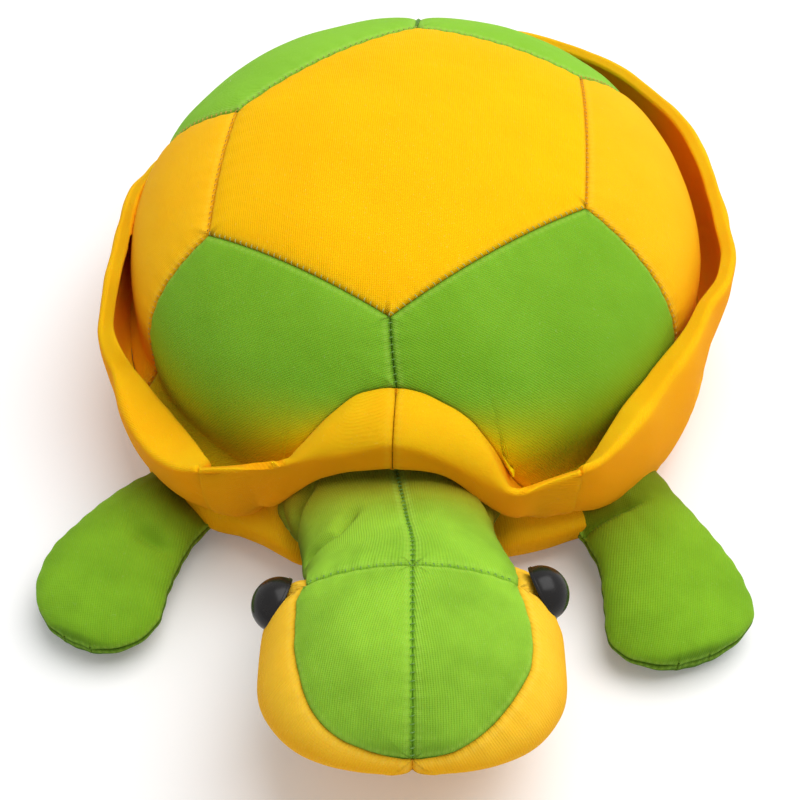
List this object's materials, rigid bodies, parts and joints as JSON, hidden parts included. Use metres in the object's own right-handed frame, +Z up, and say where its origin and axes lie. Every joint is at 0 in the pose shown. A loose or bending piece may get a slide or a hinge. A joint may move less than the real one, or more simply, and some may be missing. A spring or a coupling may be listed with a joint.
{
  "type": "stuffed turtle toy",
  "caption": "Stuffed knit-cloth turtle lying on its belly: panelled domed shell with a soft standing brim, short neck, rounded head with dome eyes, paddle flippers and a small tail.",
  "frame": {"origin": "on the flat of the belly where the toy lies on the floor, under the middle of the shell", "axes": "+Z up from the floor, +X toward the turtle's own left, -Y toward the head"},
  "size_m": [0.2686, 0.4304, 0.12],
  "materials": {
    "yellow_knit": "smooth stretch knit",
    "green_knit": "smooth stretch knit",
    "stuffing": "loose polyester fibre",
    "eye_plastic": "polished"
  },
  "bodies": {
    "torso": {"body_filling": "stuffing", "shell_panel_top": "yellow_knit", "shell_panel_front_left": "green_knit", "shell_panel_front_right": "green_knit", "shell_panel_left": "yellow_knit", "shell_panel_right": "yellow_knit", "shell_panel_back_left": "green_knit", "shell_panel_back_right": "green_knit", "brim_left": "yellow_knit", "brim_right": "yellow_knit", "belly_panel": "yellow_knit"},
    "neck": {"neck_filling": "stuffing", "neck_panel_left": "green_knit", "neck_panel_right": "green_knit", "neck_underside_panel": "green_knit"},
    "head": {"head_filling": "stuffing", "head_panel_left": "green_knit", "head_panel_right": "green_knit", "cheek_panel_left": "yellow_knit", "cheek_panel_right": "yellow_knit", "eye_left": "eye_plastic", "eye_right": "eye_plastic", "eye_washer_left": "eye_plastic", "eye_washer_right": "eye_plastic"},
    "front_flipper_left": {"front_flipper_left_filling": "stuffing", "front_flipper_left_top_panel": "green_knit", "front_flipper_left_bottom_panel": "green_knit"},
    "front_flipper_right": {"front_flipper_right_filling": "stuffing", "front_flipper_right_top_panel": "green_knit", "front_flipper_right_bottom_panel": "green_knit"},
    "rear_flipper_left": {"rear_flipper_left_filling": "stuffing", "rear_flipper_left_top_panel": "green_knit", "rear_flipper_left_bottom_panel": "green_knit"},
    "rear_flipper_right": {"rear_flipper_right_filling": "stuffing", "rear_flipper_right_top_panel": "green_knit", "rear_flipper_right_bottom_panel": "green_knit"},
    "tail": {"tail_filling": "stuffing", "tail_top_panel": "green_knit", "tail_bottom_panel": "green_knit"}
  },
  "joints": [
    {"name": "neck_nod", "type": "hinge", "parent": "torso", "child": "neck", "pos_m": [0, -0.124, 0.036], "axis": [0.9833, 0.1822, 0], "range_deg": [-6, 18]},
    {"name": "head_turn", "type": "hinge", "parent": "neck", "child": "head", "pos_m": [0.00993, -0.17759, 0.0465], "axis": [0, 0, 1], "range_deg": [-8, 22]},
    {"name": "front_left_flap", "type": "hinge", "parent": "torso", "child": "front_flipper_left", "pos_m": [0.08766, -0.11219, 0.016], "axis": [0.7877, 0.616, 0], "range_deg": [-28, 30]},
    {"name": "front_right_flap", "type": "hinge", "parent": "torso", "child": "front_flipper_right", "pos_m": [-0.08784, -0.11251, 0.016], "axis": [0.8156, -0.5785, 0], "range_deg": [-28, 30]},
    {"name": "rear_left_flap", "type": "hinge", "parent": "torso", "child": "rear_flipper_left", "pos_m": [0.06713, 0.12616, 0.016], "axis": [-0.864, 0.5035, 0], "range_deg": [-28, 30]},
    {"name": "rear_right_flap", "type": "hinge", "parent": "torso", "child": "rear_flipper_right", "pos_m": [-0.067, 0.12592, 0.016], "axis": [-0.8677, -0.497, 0], "range_deg": [-28, 30]},
    {"name": "tail_flap", "type": "hinge", "parent": "torso", "child": "tail", "pos_m": [0.00003, 0.13877, 0.016], "axis": [-0.9998, 0.022, 0], "range_deg": [-30, 30]}
  ]
}
